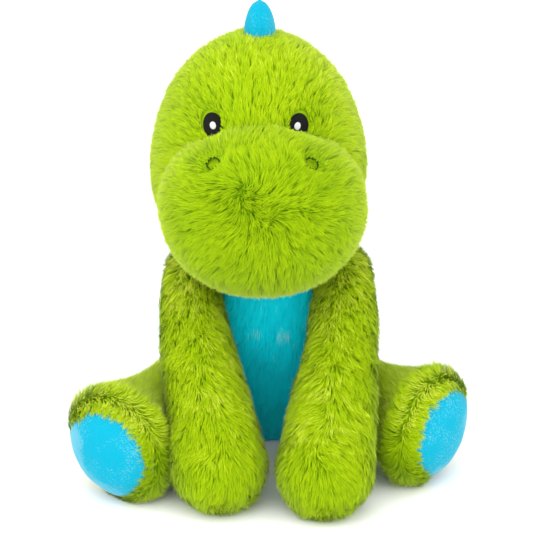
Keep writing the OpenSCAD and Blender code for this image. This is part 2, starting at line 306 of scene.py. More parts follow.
def furMaterial(name, along, tone, rim, pale):
    # u holds each hair's tone and v how far along it a point is, so colour follows the hair; the darker roots are
    # painted shade from deep in the pile; the tips of the very brightest hairs turn to the pale colour, partly a
    # painted highlight where painted light raised the tone
    n = Nodes(name)
    place = n.add("ShaderNodeUVMap", {"uv_map": "OFBake"}).outputs["UV"]
    split = n.add("ShaderNodeSeparateXYZ", Vector=place)
    hair = n.ramp(split.outputs["Y"], along)
    shade = n.ramp(split.outputs["X"], tone)
    colour = n.mix(1.0, hair, shade, "MULTIPLY")
    bright = n.greyRamp(split.outputs["X"], (0.0, 0), (0.88, 0), (0.99, 0.8))
    tip = n.greyRamp(split.outputs["Y"], (0.0, 0), (0.3, 0.1), (1.0, 1))
    colour = n.mix(n.mix(1.0, bright, tip, "MULTIPLY"), colour, pale)
    return n.set(Base_Color=colour, Roughness=0.7, Specular_IOR_Level=0.06, Sheen_Weight=0.35,
                 Sheen_Roughness=0.4, Sheen_Tint=(*rim, 1))


def clothMaterial(name, dark, light):
    # knitted backing under the pile, seen only between hairs
    n = Nodes(name)
    patches = n.noise(260, 4)
    colour = n.mix(patches, dark, light)
    knit = n.noise(1800, 2)
    return n.set(Base_Color=colour, Roughness=0.9, Specular_IOR_Level=0.1, Normal=n.bump(knit, 0.0004))


def smoothPlushMaterial(name, deep, pale):
    # short pile: pale where it was stroked the other way, in patches with a clear edge and in specks, and paler
    # towards the rim as painted sheen; the rim's nearness is the u of the uv layer read here
    n = Nodes(name)
    where = n.objectPoint()
    layer = n.add("ShaderNodeUVMap", {"uv_map": "strokes"}).outputs["UV"]
    rim = n.add("ShaderNodeSeparateXYZ", Vector=layer).outputs["X"]
    wide = n.greyRamp(n.noise(45, 6, 0.62, where), (0.0, 0), (1.0, 0.6))
    grain = n.noise(1000, 3, 0.6, where)
    # painted sheen: the rim's nearness adds to the strokes, so the pile pales towards the rim
    strokes = n.mix(1.0, wide, n.greyRamp(rim, (0.0, 0), (1.0, 0.32)), "ADD")
    strokes = n.mix(1.0, strokes, n.greyRamp(grain, (0.3, 0), (0.7, 0.16)), "ADD")
    patch = n.greyRamp(strokes, (0.0, 0), (0.475, 0), (0.52, 0.5), (0.8, 1))
    specks = n.greyRamp(grain, (0.0, 0), (0.50, 0), (0.62, 0.6))
    some = n.greyRamp(n.noise(60, 3, 0.5, where), (0.0, 0.1), (0.48, 0.1), (0.62, 1))
    share = n.mix(1.0, patch, n.mix(1.0, specks, some, "MULTIPLY"), "LIGHTEN")
    colour = n.mix(share, deep, pale)
    return n.set(Base_Color=colour, Roughness=0.75, Specular_IOR_Level=0.08, Sheen_Weight=0.35,
                 Sheen_Roughness=0.35, Sheen_Tint=(0.5, 0.95, 1, 1), Normal=n.bump(grain, 0.0005, 0.6))


def threadMaterial(name, dark, light, pitch, turned=0.0):
    # satin stitches: fine parallel ridges with a little wandering, and thread-to-thread shades
    n = Nodes(name)
    place = n.add("ShaderNodeMapping", Vector=n.objectPoint(), Rotation=(0, turned, 0))
    wave = n.add("ShaderNodeTexWave", {"bands_direction": "X"}, Vector=place.outputs["Vector"],
                 Scale=1 / pitch / 3.2, Distortion=1.5, Detail=2.0, Detail_Scale=3.0).outputs["Fac"]
    speck = n.noise(2400, 2)
    shade = n.mix(0.35, wave, speck)
    return n.set(Base_Color=n.mix(shade, dark, light), Roughness=0.5, Specular_IOR_Level=0.12,
                 Normal=n.bump(wave, 0.0004, 0.8))


def fillMaterial(name, dark, light, scale):
    # loose fibre or thin woven cloth inside the toy
    n = Nodes(name)
    wisps = n.noise(scale, 8, 0.7)
    return n.set(Base_Color=n.mix(wisps, dark, light), Roughness=0.95, Specular_IOR_Level=0.1,
                 Normal=n.bump(wisps, 0.002, 0.5))


greenFur = furMaterial(
    "greenFur",
    # along the hair: roots darker as painted shade of the pile, tips lighter
    [(0.0, (0.18, 0.35, 0.0)), (0.3, (0.27, 0.46, 0.0)), (1.0, (0.53, 0.69, 0.003))],
    [(0.0, (0.48, 0.64, 0.4)), (0.5, (0.80, 0.89, 0.8)), (1.0, (1.0, 1.0, 1.0))],
    (0.95, 1.0, 0.35), (0.80, 0.88, 0.10))
blueFur = furMaterial(
    "blueFur",
    # along the hair: roots darker as painted shade of the pile, tips lighter
    [(0.0, (0.0, 0.52, 0.66)), (0.35, (0.0, 0.74, 0.90)), (0.85, (0.0, 0.86, 1.0)), (1.0, (0.04, 0.90, 1.0))],
    [(0.0, (0.66, 0.74, 0.84)), (0.5, (0.92, 0.96, 1.0)), (1.0, (1.0, 1.0, 1.0))],
    (0.3, 0.9, 1.0), (0.45, 0.90, 0.95))
greenCloth = clothMaterial("greenCloth", (0.18, 0.34, 0.001), (0.28, 0.46, 0.002))
blueCloth = clothMaterial("blueCloth", (0.0, 0.45, 0.56), (0.0, 0.62, 0.75))
smoothPlush = smoothPlushMaterial("smoothPlush", (0.0, 0.32, 0.46), (0.13, 0.41, 0.53))
eyeThread = threadMaterial("eyeThread", (0.001, 0.001, 0.001), (0.012, 0.012, 0.012), 0.0005, 0.5)
highlightThread = threadMaterial("highlightThread", (0.66, 0.67, 0.68), (0.95, 0.95, 0.95), 0.0004)
nostrilThread = threadMaterial("nostrilThread", (0.02, 0.08, 0.002), (0.05, 0.16, 0.004), 0.0003)
fibreFill = fillMaterial("fibreFill", (0.78, 0.78, 0.76), (0.95, 0.95, 0.93), 400)
pouchCloth = fillMaterial("pouchCloth", (0.62, 0.56, 0.45), (0.8, 0.74, 0.62), 1500)
tagCloth = fillMaterial("tagCloth", (0.85, 0.85, 0.83), (0.96, 0.96, 0.95), 2200)
print("materials made")


# covers: a skin of cloth and the hairs that grow from it

def place(piece, body, slot, nodes=(), fill=None):
    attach(piece, body)
    if nodes:
        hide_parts(*nodes)
    return piece


def softened(points, triangles, lumps, seed, dents=()):
    # gentle unevenness of a stuffed form along its normals, then round dents (place, radius, depth)
    normals = vertexNormals(points, triangles)
    height = lumps * (noise(points, 0.032, seed) + 0.5 * noise(points, 0.015, seed + 5))
    for middle, radius, depth in dents:
        height -= depth * np.exp(-((points - middle) ** 2).sum(1) / radius ** 2)
    points = points + normals * height[:, None]
    points[:, 2] = np.maximum(points[:, 2], floorGap)
    return points, vertexNormals(points, triangles)


def scatter(points, triangles, normals, perMm2, rng):
    # random places on the triangles, as many on each as its area asks for
    a, b, c = (points[triangles[:, k]] for k in range(3))
    area = np.linalg.norm(np.cross(b - a, c - a), axis=1) / 2
    count = int(area.sum() * 1e6 * perMm2 * strandShare)
    pick = rng.choice(len(triangles), count, p=area / area.sum())
    u, v = rng.random((2, count, 1))
    over = u + v > 1
    u, v = np.where(over, 1 - u, u), np.where(over, 1 - v, v)
    na, nb, nc = (normals[triangles[pick, k]] for k in range(3))
    spot = a[pick] + u * (b - a)[pick] + v * (c - a)[pick]
    return spot, unit(na + u * (nb - na) + v * (nc - na))


furStyle = {
    "density": 2.3,         # hairs on a square millimetre
    "length": 0.0100,
    "width": 0.00048,
    "leanRoot": 32,         # degrees from the normal at the root, and at the tip
    "leanTip": 72,
    "clumpSize": 0.0052,
    "clumpPull": 0.55,
    "wander": 0.55,         # how far neighbouring locks turn off the combing
    "stray": 0.16,
}


def hairs(roots, normals, flow, share, style, seed, paintedLightAndStreaks):
    # each hair is root, middle and tip: it leaves the cloth at leanRoot and ends at leanTip, turned
    # along the flow, straighter where the flow is weak, and its tip is drawn to the middle of its lock
    rng = np.random.default_rng(seed)
    count = len(roots)
    flow = flow - normals * dot(flow, normals)
    combed = np.minimum(np.linalg.norm(flow, axis=1, keepdims=True) / 0.6, 1)
    flow = unit(flow) * combed
    turned = noiseVectors(roots, 0.011, seed) + 0.6 * noiseVectors(roots, 0.0045, seed + 9)
    flow = flow + style["wander"] * turned
    flow = flow + style["stray"] * rng.normal(size=(count, 3))
    flow = unit(flow - normals * dot(flow, normals))
    length = style["length"] * share[:, None] * rng.uniform(0.82, 1.12, (count, 1))
    leanRoot = np.radians(style["leanRoot"] + 8 * rng.normal(size=(count, 1))) * (0.5 + 0.5 * combed)
    leanTip = np.radians(style["leanTip"] + 8 * rng.normal(size=(count, 1))) * (0.6 + 0.4 * combed)
    middle = roots + length * 0.5 * (normals * np.cos(leanRoot) + flow * np.sin(leanRoot))
    tip = middle + length * 0.5 * (normals * np.cos(leanTip) + flow * np.sin(leanTip))
    centre, gap = nearestCentre(roots, style["clumpSize"], seed + 20)
    pull = centre - roots
    pull = (pull - normals * dot(pull, normals)) * style["clumpPull"] * np.minimum(share, 1)[:, None]
    middle = middle + 0.35 * pull
    tip = tip + pull
    turn = rng.normal(0, 0.45, (count, 1))
    side = unit(np.cross(tip - roots, normals))
    side = unit(side * np.cos(turn) + normals * np.sin(turn)) * style["width"] / 2
    points = np.stack([roots - side, roots + side, middle - 0.85 * side, middle + 0.85 * side, tip], 1)
    points[..., 2] = np.maximum(points[..., 2], floorGap)
    facing = unit(normals + 0.35 * unit(middle - roots) + 0.22 * rng.normal(size=(count, 3)))
    lock = 0.5 - gap / style["clumpSize"]
    # painted shade: hairs standing straight up where the flow is weak are darkened, as fur seen end-on looks dark
    tone = (0.55 + 0.35 * lock + 0.10 * noise(roots, 0.02, seed + 31) + 0.10 * noise(roots, 0.006, seed + 33)
            + 0.10 * rng.normal(size=count) - 0.05 * (1 - combed[:, 0]) + paintedLightAndStreaks)
    return points.reshape(-1, 3), np.repeat(facing, 5, 0), np.clip(tone, 0.01, 0.99)


def furPiece(name, body, slot, material, parts):
    # parts are the (points, facings, tones) of one or more coats of hair
    points = np.concatenate([part[0] for part in parts])
    facing = np.concatenate([part[1] for part in parts])
    tone = np.concatenate([part[2] for part in parts])
    count = len(tone)
    hair = np.array([[0, 1, 3], [0, 3, 2], [2, 3, 4]])
    triangles = (hair[None] + 5 * np.arange(count)[:, None, None]).reshape(-1, 3)
    piece = newMesh(name, points, triangles, material)
    sideways = np.array([-1, 1, -1, 1, 0]) * 0.004
    along = np.array([0, 0, 0.5, 0.5, 1.0])
    uv = np.stack([(tone[:, None] + sideways).ravel(), np.tile(along, count)], 1)
    layer = piece.data.uv_layers.new(name="OFBake")
    layer.uv.foreach_set("vector", uv[triangles.ravel()].astype(np.float32).ravel())
    piece.data.normals_split_custom_set_from_vertices(facing)
    print(name, count, "hairs", len(triangles), "triangles")
    return place(piece, body, slot)


def coat(surface, normals, comb, seed, style=furStyle, keep=None, share=None, paintedLightAndStreaks=None):
    # roots spread over a surface, thinned by keep, with lengths scaled by share and tones raised by the last
    # argument, which carries painted light and shade and the belly's pale streaks
    points, triangles = surface
    roots, facing = scatter(points, triangles, normals, style["density"], np.random.default_rng(seed))
    if keep is not None:
        stay = keep(roots, facing)
        roots, facing = roots[stay], facing[stay]
    lengths = np.ones(len(roots)) if share is None else share(roots)
    tones = 0.0 if paintedLightAndStreaks is None else paintedLightAndStreaks(roots, facing)
    return hairs(roots, facing, comb(roots, facing), lengths, style, seed, tones)


def splitCoat(wholeCoat, chunk=60000):
    # a coat in strips of at most chunk hairs, side by side, so that no piece has too many triangles
    points, facing, tone = wholeCoat
    points, facing = points.reshape(-1, 5, 3), facing.reshape(-1, 5, 3)
    order = np.argsort(points[:, 0, 0], kind="stable")
    strips = np.array_split(order, max(1, math.ceil(len(tone) / chunk)))
    return [(points[part].reshape(-1, 3), facing[part].reshape(-1, 3), tone[part]) for part in strips]


# head and muzzle

headLow, headHigh = (np.array(v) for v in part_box("head_cover"))
muzzleLow, muzzleHigh = (np.array(v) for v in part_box("muzzle_cover"))
skull = {"half": [0.068, 0.070, 0.088], "low": 0.075, "bottom": -44}
skull["middle"] = np.array([(headLow + headHigh)[0] / 2, *(headHigh[1:] - skull["half"][1:])])
muzzle = {"half": [0.063, 0.054, 0.053], "power": 0.98}
muzzle["middle"] = np.array([(muzzleLow + muzzleHigh)[0] / 2, *(muzzleLow[1:] + muzzle["half"][1:])])
eyes = {
    "at": [0.0274, 0.0422],         # sideways from the middle of the skull, and above it
    "half": [0.0066, 0.0078],       # sideways, upwards
    "shift": -0.0014,               # both towards the toy's right
    "socket": 0.0016,               # depth and radius of the dent that an eye sits in
    "socketRadius": 0.011,
}
nostrils = {
    "at": [0.031, 0.038],           # sideways from the middle of the muzzle, and above it
    "radius": 0.0043,
    "stitches": 13,
    "thread": 0.0005,
    "dimple": 0.0024,
    "dimpleRadius": 0.006,
}


def frontPoint(shape, across, above):
    # place on the front of an egg at given offsets from its middle, and its outward direction
    half = np.array(shape["half"])
    n = 2 / shape.get("power", 1)
    y = (1 - abs(across / half[0]) ** n - abs(above / half[2]) ** n) ** (1 / n)
    p = np.array([across, -half[1] * y, above])
    return shape["middle"] + p, unit(np.sign(p) * np.abs(p / half) ** (n - 1) / half)


eyePlaces, nostrilPlaces = {}, {}
for side in (left, right):
    eyePlaces[side] = frontPoint(skull, side * eyes["at"][0] + eyes["shift"], eyes["at"][1])
    nostrilPlaces[side] = frontPoint(muzzle, side * nostrils["at"][0], nostrils["at"][1])
sockets = [(eyePlaces[side][0], eyes["socketRadius"], eyes["socket"]) for side in (left, right)]
dimples = [(nostrilPlaces[side][0], nostrils["dimpleRadius"], nostrils["dimple"]) for side in (left, right)]
crease = [(frontPoint(muzzle, 0.0, up)[0], 0.008, 0.0014) for up in (0.044, 0.050)]


def headComb(p, n):
    # over the crown from the face to the nape, and down the sides
    over = np.cross(n, [1, 0, 0])
    return over + np.abs(n[:, :1]) * np.array([0, 0.5, -0.9])


def muzzleComb(p, n):
    # from between the stitched rings down and to all sides, and away from each ring
    flow = np.array([0, 1.0, 0.0]) - n * n[:, 1:2] + np.array([0, 0, -0.45])
    flow = flow + 0.35 * noiseVectors(p, 0.028, 73)
    for side in (left, right):
        away = p - nostrilPlaces[side][0]
        far = np.linalg.norm(away, axis=1, keepdims=True)
        flow = flow + 1.6 * unit(away) * np.exp(-((far / 0.008) ** 2))
    return flow


def eyeClear(p):
    # 1 inside the oval of an eye, falling outwards in units of its radii
    nearest = np.full(len(p), 9.0)
    for side in (left, right):
        q = (p - eyePlaces[side][0])[:, [0, 2]] / np.array(eyes["half"])
        nearest = np.minimum(nearest, np.where(p[:, 1] < skull["middle"][1], np.linalg.norm(q, axis=1), 9))
    return nearest


def nearEyesShort(p):
    # shorter pile along the top of the muzzle under each eye
    gap = np.min([np.linalg.norm(p - eyePlaces[side][0], axis=1) for side in (left, right)], axis=0)
    return 0.55 + 0.45 * smoothStep(gap, 0.010, 0.022)


def nostrilDistance(p):
    return np.minimum(*(np.linalg.norm(p - nostrilPlaces[side][0], axis=1) for side in (left, right)))


surface = eggSurface(skull, -clothDepth, 120, 160, skull["bottom"])
headPoints, headNormals = softened(*surface, 0.0007, 11, sockets)
place(newMesh("head_skin", headPoints, surface[1], greenCloth), "head", "green_fur", ["head_cover"], 0.8)
headCoat = coat(
    (headPoints, surface[1]), headNormals, headComb, 101,
    keep=lambda p, n: (eggDepth(p, muzzle) < 0.0015) & (eyeClear(p) > 1.04) & (n[:, 2] > -0.93),
    share=lambda p: 0.42 + 0.58 * smoothStep(eyeClear(p), 1.0, 2.4),
    # painted light: tones raised all over, and more on the crown, where the light falls from above
    paintedLightAndStreaks=lambda p, n: 0.08 + 0.14 * smoothStep(n[:, 2], 0.2, 0.9))
for i, part in enumerate(splitCoat(headCoat)):
    furPiece(f"head_fur_{i + 1}", "head", "green_fur", greenFur, [part])

surface = eggSurface(muzzle, -clothDepth, 110, 150)
muzzlePoints, muzzleNormals = softened(*surface, 0.0007, 12, dimples + crease)
place(newMesh("muzzle_skin", muzzlePoints, surface[1], greenCloth), "head", "green_fur",
      ["muzzle_cover"], 0.8)
muzzleCoat = coat(
    (muzzlePoints, surface[1]), muzzleNormals, muzzleComb, 102,
    keep=lambda p, n: eggDepth(p, skull) < 0.002,
    share=lambda p: (0.16 + 0.84 * smoothStep(nostrilDistance(p), 0.0045, 0.014)) * nearEyesShort(p),
    # painted light and shade: darker on the front that faces forward, paler towards the rims, and paler underneath
    # as painted bounce light from the floor
    paintedLightAndStreaks=lambda p, n: (-0.10 + 0.22 * smoothStep(n[:, 1], -0.85, -0.25)
                           + 0.25 * smoothStep(-n[:, 2], 0.62, 0.9)))
for i, part in enumerate(splitCoat(muzzleCoat)):
    furPiece(f"muzzle_fur_{i + 1}", "head", "green_fur", greenFur, [part])
print("head made")


# eyes and nostrils

def onSkull(across, above, grow):
    # points of the front of the skull over arrays of offsets, with the eye sockets pressed in
    half = np.array(skull["half"]) + grow
    y = np.sqrt(1 - (across / half[0]) ** 2 - (above / half[2]) ** 2)
    p = skull["middle"] + np.stack([across, -half[1] * y, above], -1)
    n = unit((p - skull["middle"]) / half ** 2)
    for side in (left, right):
        gap = ((p - eyePlaces[side][0]) ** 2).sum(-1, keepdims=True)
        p = p - n * eyes["socket"] * np.exp(-gap / eyes["socketRadius"] ** 2)
    return p


def embroideredOval(name, middle, half, grow, pad, material, slot, node):
    # a domed oval patch whose rim turns down into the cloth
    rings, columns = 20, 56
    s = np.linspace(0.04, 1.0, rings)[::-1][:, None]
    a = np.linspace(0, 2 * math.pi, columns, endpoint=False)[None, :]
    across = middle[0] + half[0] * s * np.cos(a)
    above = middle[1] + half[1] * s * np.sin(a)
    dome = pad * np.sqrt(np.maximum(1 - s ** 2, 0))
    base = onSkull(across, above, grow)
    outward = unit(base - skull["middle"])
    under = onSkull(across[:1], above[:1], grow) - outward[:1] * 0.0012
    rows = np.concatenate([under, base + outward * (dome * np.ones_like(a))[..., None]])
    top = onSkull(np.array([middle[0]]), np.array([middle[1]]), grow)[0]
    outTop = unit(top - skull["middle"])
    points, triangles = ringSurface(rows, under[0].mean(0), top + outTop * pad)
    piece = newMesh(name, points, triangles, material)
    return place(piece, "head", slot, [node])


for side, word in bothSides:
    middle = np.array([side * eyes["at"][0] + eyes["shift"], eyes["at"][1]])
    embroideredOval(f"{word}_eye_embroidery", middle, eyes["half"], -clothDepth + 0.0014, 0.0016,
                    eyeThread, "eye_black", f"{word}_eye")
    embroideredOval(f"{word}_eye_glint", middle + np.array([-0.0003, 0.0008]), (0.0021, 0.0023),
                    -clothDepth + 0.0028, 0.0007, highlightThread, "eye_white", f"{word}_eye_highlight")


def stitchRing(name, side, node):
    # short thread arcs laid round the rim of a dimple: tapered tubes of six sides
    middle, outward = nostrilPlaces[side]
    across = unit(np.cross([0, 0, 1], outward))
    up = np.cross(outward, across)
    rng = np.random.default_rng(60 + side)
    steps, sides = 7, 6
    points, triangles, count = [], [], nostrils["stitches"]
    for k in range(count):
        turn = 2 * math.pi * (k + rng.uniform(-0.12, 0.12)) / count + np.linspace(-0.16, 0.16, steps)
        hump = np.sin(np.linspace(0, math.pi, steps))
        radius = nostrils["radius"] * (1 + 0.08 * rng.normal() * hump)
        line = (middle + outward * (-clothDepth - 0.0004 + 0.0020 * hump)[:, None]
                + radius[:, None] * (np.cos(turn)[:, None] * across + np.sin(turn)[:, None] * up))
        ahead = unit(np.gradient(line, axis=0))
        side1 = unit(np.cross(ahead, outward))
        side2 = np.cross(side1, ahead)
        a = np.linspace(0, 2 * math.pi, sides, endpoint=False)
        thick = (nostrils["thread"] * (0.55 + 0.45 * hump))[:, None, None]
        c, s = np.cos(a)[None, :, None], np.sin(a)[None, :, None]
        tube = line[:, None] + thick * (c * side1[:, None] + s * side2[:, None])
        p, t = ringSurface(tube, line[0], line[-1])
        triangles.append(t + sum(len(q) for q in points))
        points.append(p)
    piece = newMesh(name, np.concatenate(points), np.concatenate(triangles)[:, ::-1], nostrilThread)
    return place(piece, "head", "dark_green_thread", [node])


for side, word in bothSides:
    stitchRing(f"{word}_nostril_stitches", side, f"{word}_nostril")
print("eyes and nostrils made")


# limbs

arms = {
    "radii": np.array([0.015, 0.019, 0.028]),
    "elbow": np.array([0.053, -0.046, 0.104]),
}
legs = {
    "widths": np.array([0.030, 0.014, 0.031]),
    "heights": np.array([0.030, 0.016, 0.038]),
    "tip": 0.025,
    "roll": 30,
    "straight": 0.040,      # how far the leg runs straight behind its sole
    "soleFrom": 0.5,        # share of the rounded end where the sole starts
    "soleReach": 0.5,       # how much earlier it starts on its outer and lower side
    "feet": {left: ([0.102, -0.072, 0.0368], 44), right: ([-0.095, -0.099, 0.0368], 20)},
}


def armLimb(side, word):
    low, high = (np.array(v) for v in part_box(f"{word}_arm_cover"))
    r = arms["radii"][2]
    paw = np.array([low[0] + r if side == left else high[0] - r, low[1] + r, low[2] + r])
    path = np.array([pivots[f"{word}_arm_lift"], arms["elbow"] * [side, 1, 1], paw])
    return {"path": path, "widths": arms["radii"], "heights": arms["radii"], "tip": r}


def legLimb(side, word):
    foot, turn = legs["feet"][side]
    ahead = np.array([side * math.sin(math.radians(turn)), -math.cos(math.radians(turn)), 0])
    foot = np.array(foot)
    path = np.array([pivots[f"{word}_leg_swing"], foot - legs["straight"] * ahead, foot])
    return {"path": path, "widths": legs["widths"], "heights": legs["heights"], "tip": legs["tip"],
            "roll": -side * legs["roll"], "ahead": ahead,
            "lowSide": unit(np.array([-ahead[1] * side, ahead[0] * side, -0.8]))}


torso = {
    "half": [0.063, 0.050],
    "height": 0.138,
    "belly": 0.050,
    "low": 0.062,
    "lean": -0.008,
    "power": 0.8,
    "middleY": float((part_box("seat_panel")[0].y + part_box("seat_panel")[1].y) / 2),
    "panel": [0.046, 0.077, 0.081],     # half width, half height and middle height of the belly's outline
}
tail = {
    "radii": np.array([0.024, 0.015, 0.011]),
    "length": 0.100,
    "sag": 0.004,
    "tipHeight": 0.015,
}


def torsoPoint(b, a, grow=0.0):
    # egg with a leaning middle line: latitude b, longitude a
    spread = np.maximum(np.cos(b), 0) ** torso["power"]
    rise = np.where(b > 0, torso["height"] - torso["belly"] + grow, torso["low"])
    return np.stack([(torso["half"][0] + grow) * spread * np.cos(a),
                     torso["middleY"] + torso["lean"] * np.maximum(np.sin(b), 0)
                     + (torso["half"][1] + grow) * spread * np.sin(a),
                     torso["belly"] + rise * np.sin(b) + 0 * a], -1)


def torsoDepth(p):
    # about how far points lie inside the torso
    rise = np.where(p[:, 2] > torso["belly"], torso["height"] - torso["belly"], torso["low"])
    s = np.clip((p[:, 2] - torso["belly"]) / rise, -1, 1)
    spread = (1 - s ** 2) ** (torso["power"] / 2)
    y = p[:, 1] - torso["middleY"] - torso["lean"] * np.maximum(s, 0)
    size = np.hypot(p[:, 0] / torso["half"][0], y / torso["half"][1])
    return np.minimum((spread - size) * torso["half"][1], torso["height"] - p[:, 2])


limbs = {f"{word}_arm": armLimb(side, word) for side, word in bothSides}
limbs |= {f"{word}_leg": legLimb(side, word) for side, word in bothSides}
tailRoot = pivots["tail_wag"]
limbs["tail"] = {
    "path": np.array([tailRoot, tailRoot + [0, tail["length"] / 2, -tail["sag"]],
                      [0, tailRoot[1] + tail["length"], tail["tipHeight"]]]),
    "widths": tail["radii"], "heights": tail["radii"], "tip": tail["radii"][2],
}
limbStyle = furStyle | {"length": 0.0106, "wander": 0.6, "leanRoot": 44, "leanTip": 74, "clumpPull": 0.40}
legStyle = limbStyle | {"leanRoot": 30, "leanTip": 66}
tuftStyle = legStyle | {
    "length": 0.0072, "leanRoot": 62, "leanTip": 88, "clumpSize": 0.0048, "clumpPull": 0.75, "density": 3.0,
    "wander": 0.4,
}


def limbPlace(p, limb):
    # nearest of many path points: its t, its direction, and the offset from it
    steps = np.linspace(0, 1, 40)
    path = bend(limb["path"][:, None], steps[:, None])
    gap = ((p[:, None] - path[None]) ** 2).sum(-1)
    nearest = gap.argmin(1)
    t = steps[nearest]
    return t, unit(slope(limb["path"][:, None], t[:, None])), p - path[nearest]


def armComb(limb):
    # down to the paw, and to both sides of a parting along the front of the arm
    def comb(p, n):
        t, ahead, off = limbPlace(p, limb)
        across = unit(np.cross([0, 0, 1], ahead))
        parting = np.tanh(dot(off, across) / 0.006)
        return ahead + 0.45 * parting * across * (n[:, 1:2] < 0)
    return comb


def legComb(limb):
    # over the edge of the sole beside it, back to the body further away, and sideways between the two,
    # so that no parting opens
    def comb(p, n):
        t, ahead, off = limbPlace(p, limb)
        back = smoothStep(-seamPlace(p, limb)[0], 0.001, 0.010)[:, None]
        sideways = unit(np.cross(ahead, n)) * np.sign(ahead[:, :1])
        homewards = np.array([0, 0, 0.2]) - ahead
        return ahead * (1 - back) + back * homewards + 2.0 * back * (1 - back) * sideways
    return comb


def tailComb(limb):
    # to the tip of the tail, and a little down
    def comb(p, n):
        return limbPlace(p, limb)[1] + 0.25 * np.array([0, 0, -1.0])
    return comb


for side, word in bothSides:
    limb = limbs[f"{word}_arm"]
    surface = limbSurface(limb, -clothDepth)
    points, normals = softened(*surface, 0.0009, 20 + side)
    place(newMesh(f"{word}_arm_skin", points, surface[1], greenCloth), f"{word}_arm", "green_fur",
          [f"{word}_arm_cover"], 0.75)
    fur = coat((points, surface[1]), normals, armComb(limb), 110 + side, limbStyle,
               keep=lambda p, n: torsoDepth(p) < 0.003,
               # painted light: brighter on top, and on the shoulders, lifting the shade that the head casts there
               paintedLightAndStreaks=lambda p, n: (0.22 * smoothStep(n[:, 2], 0.1, 0.8)
                                      + 0.25 * smoothStep(p[:, 2], 0.10, 0.14)))
    furPiece(f"{word}_arm_fur", f"{word}_arm", "green_fur", greenFur, [fur])
print("arms made")


def seamPlace(p, limb):
    # how far points lie past the seam of the sole, which runs further back on its outer and lower side
    q = p - limb["path"][2]
    off = q @ limb["ahead"]
    sideways = unit(q - off[:, None] * limb["ahead"])
    low = np.maximum(sideways @ limb["lowSide"], 0) ** 1.5
    return off - limb["tip"] * (legs["soleFrom"] - legs["soleReach"] * low), low


def soleSurface(limb):
    # rings from the seam to the middle of the sole, pulled in at the rim and puckered along it
    rows, columns, grow = 46, 150, -0.0004
    ahead = limb["ahead"]
    across = unit(np.cross([0, 0, 1], ahead))
    up = np.cross(ahead, across)
    roll = math.radians(limb["roll"])
    a = np.linspace(0, 2 * math.pi, columns, endpoint=False)[None, :]
    u = (limb["widths"][2] + grow) * np.cos(a)
    v = (limb["heights"][2] + grow) * np.sin(a)
    sideways = (u * math.cos(roll) - v * math.sin(roll))[..., None] * across
    upwards = (u * math.sin(roll) + v * math.cos(roll))[..., None] * up
    low = np.maximum(unit(sideways + upwards) @ limb["lowSide"], 0) ** 1.5
    start = np.arcsin(legs["soleFrom"] - legs["soleReach"] * low - 0.05)
    b = start + (math.radians(89) - start) * np.linspace(0, 1, rows)[:, None]
    rings = (limb["path"][2] + (sideways + upwards) * np.cos(b)[..., None]
             + ahead * ((limb["tip"] + grow) * np.sin(b))[..., None])
    points, triangles = ringSurface(rings, rings[0].mean(0), rings[-1].mean(0))
    past, low = seamPlace(points, limb)
    rim = np.exp(-(past / 0.003) ** 2)
    normals = vertexNormals(points, triangles)
    q = points - limb["path"][2]
    angle = np.arctan2(q @ up, q @ across)
    pucker = 0.00025 * np.sin(angle * 34 + 2 * np.sin(angle * 5)) * rim
    lumps = 0.0006 * noise(points, 0.018, 41) + 0.0002 * noise(points, 0.006, 42)
    points = points + normals * (pucker + lumps - 0.0010 * rim)[:, None]
    points[:, 2] = np.maximum(points[:, 2], floorGap)
    outwards = np.hypot((q @ across) / limb["widths"][2], (q @ up) / limb["heights"][2])
    # painted sheen: how pale the pile turns towards the rim on the lower, outer side
    rimSheen = smoothStep(outwards, 0.25, 0.95) * smoothStep(low, 0.0, 0.3)
    return points, triangles, rimSheen


def strokesAndSheenLayer(piece, triangles, values):
    # a layer whose u is one value for each point
    layer = piece.data.uv_layers.new(name="strokes")
    uv = np.stack([values, np.zeros(len(values))], 1)
    layer.uv.foreach_set("vector", uv[triangles.ravel()].astype(np.float32).ravel())


for side, word in bothSides:
    limb = limbs[f"{word}_leg"]
    surface = limbSurface(limb, -clothDepth)
    points, normals = softened(*surface, 0.0010, 30 + side)
    points = points - normals * 0.0030 * smoothStep(seamPlace(points, limb)[0], -0.001, 0.002)[:, None]
    place(newMesh(f"{word}_leg_skin", points, surface[1], greenCloth), f"{word}_leg", "green_fur",
          [f"{word}_leg_cover"], 0.75)

    def offSole(p, n):
        return (seamPlace(p, limb)[0] < -0.0004) & (torsoDepth(p) < 0.003)

    def edgeShort(p):
        # shorter beside the sole, and shortest on its lower side, where it is pressed on the ground
        past, low = seamPlace(p, limb)
        return 1 - (0.35 + 0.45 * smoothStep(low, 0.0, 0.4)) * (1 - smoothStep(-past, 0.0, 0.009))

    def besideSole(p, n):
        past, low = seamPlace(p, limb)
        return (past < -0.0004) & (past > -0.004) & (low < 0.25)

    cover = (points, surface[1])

    def paintedTopLight(p, n):
        # painted light: brighter on top, and where the combing turns
        past = seamPlace(p, limb)[0]
        parting = np.exp(-((past + 0.005) / 0.004) ** 2) * smoothStep(n[:, 2], -0.2, 0.5)
        return 0.22 * smoothStep(n[:, 2], -0.1, 0.7) + 0.26 * parting - 0.04

    fur = coat(cover, normals, legComb(limb), 120 + side, legStyle, keep=offSole, share=edgeShort,
               paintedLightAndStreaks=paintedTopLight)
    tufts = coat(cover, normals, legComb(limb), 125 + side, tuftStyle, keep=besideSole,
                 paintedLightAndStreaks=paintedTopLight)
    furPiece(f"{word}_leg_fur", f"{word}_leg", "green_fur", greenFur, [fur, tufts])
    points, triangles, rimSheen = soleSurface(limb)
    piece = newMesh(f"{word}_sole_pad", points, triangles, smoothPlush)
    strokesAndSheenLayer(piece, triangles, rimSheen)
    place(piece, f"{word}_leg", "smooth_blue_fabric", [f"{word}_leg_sole"], 0.7)
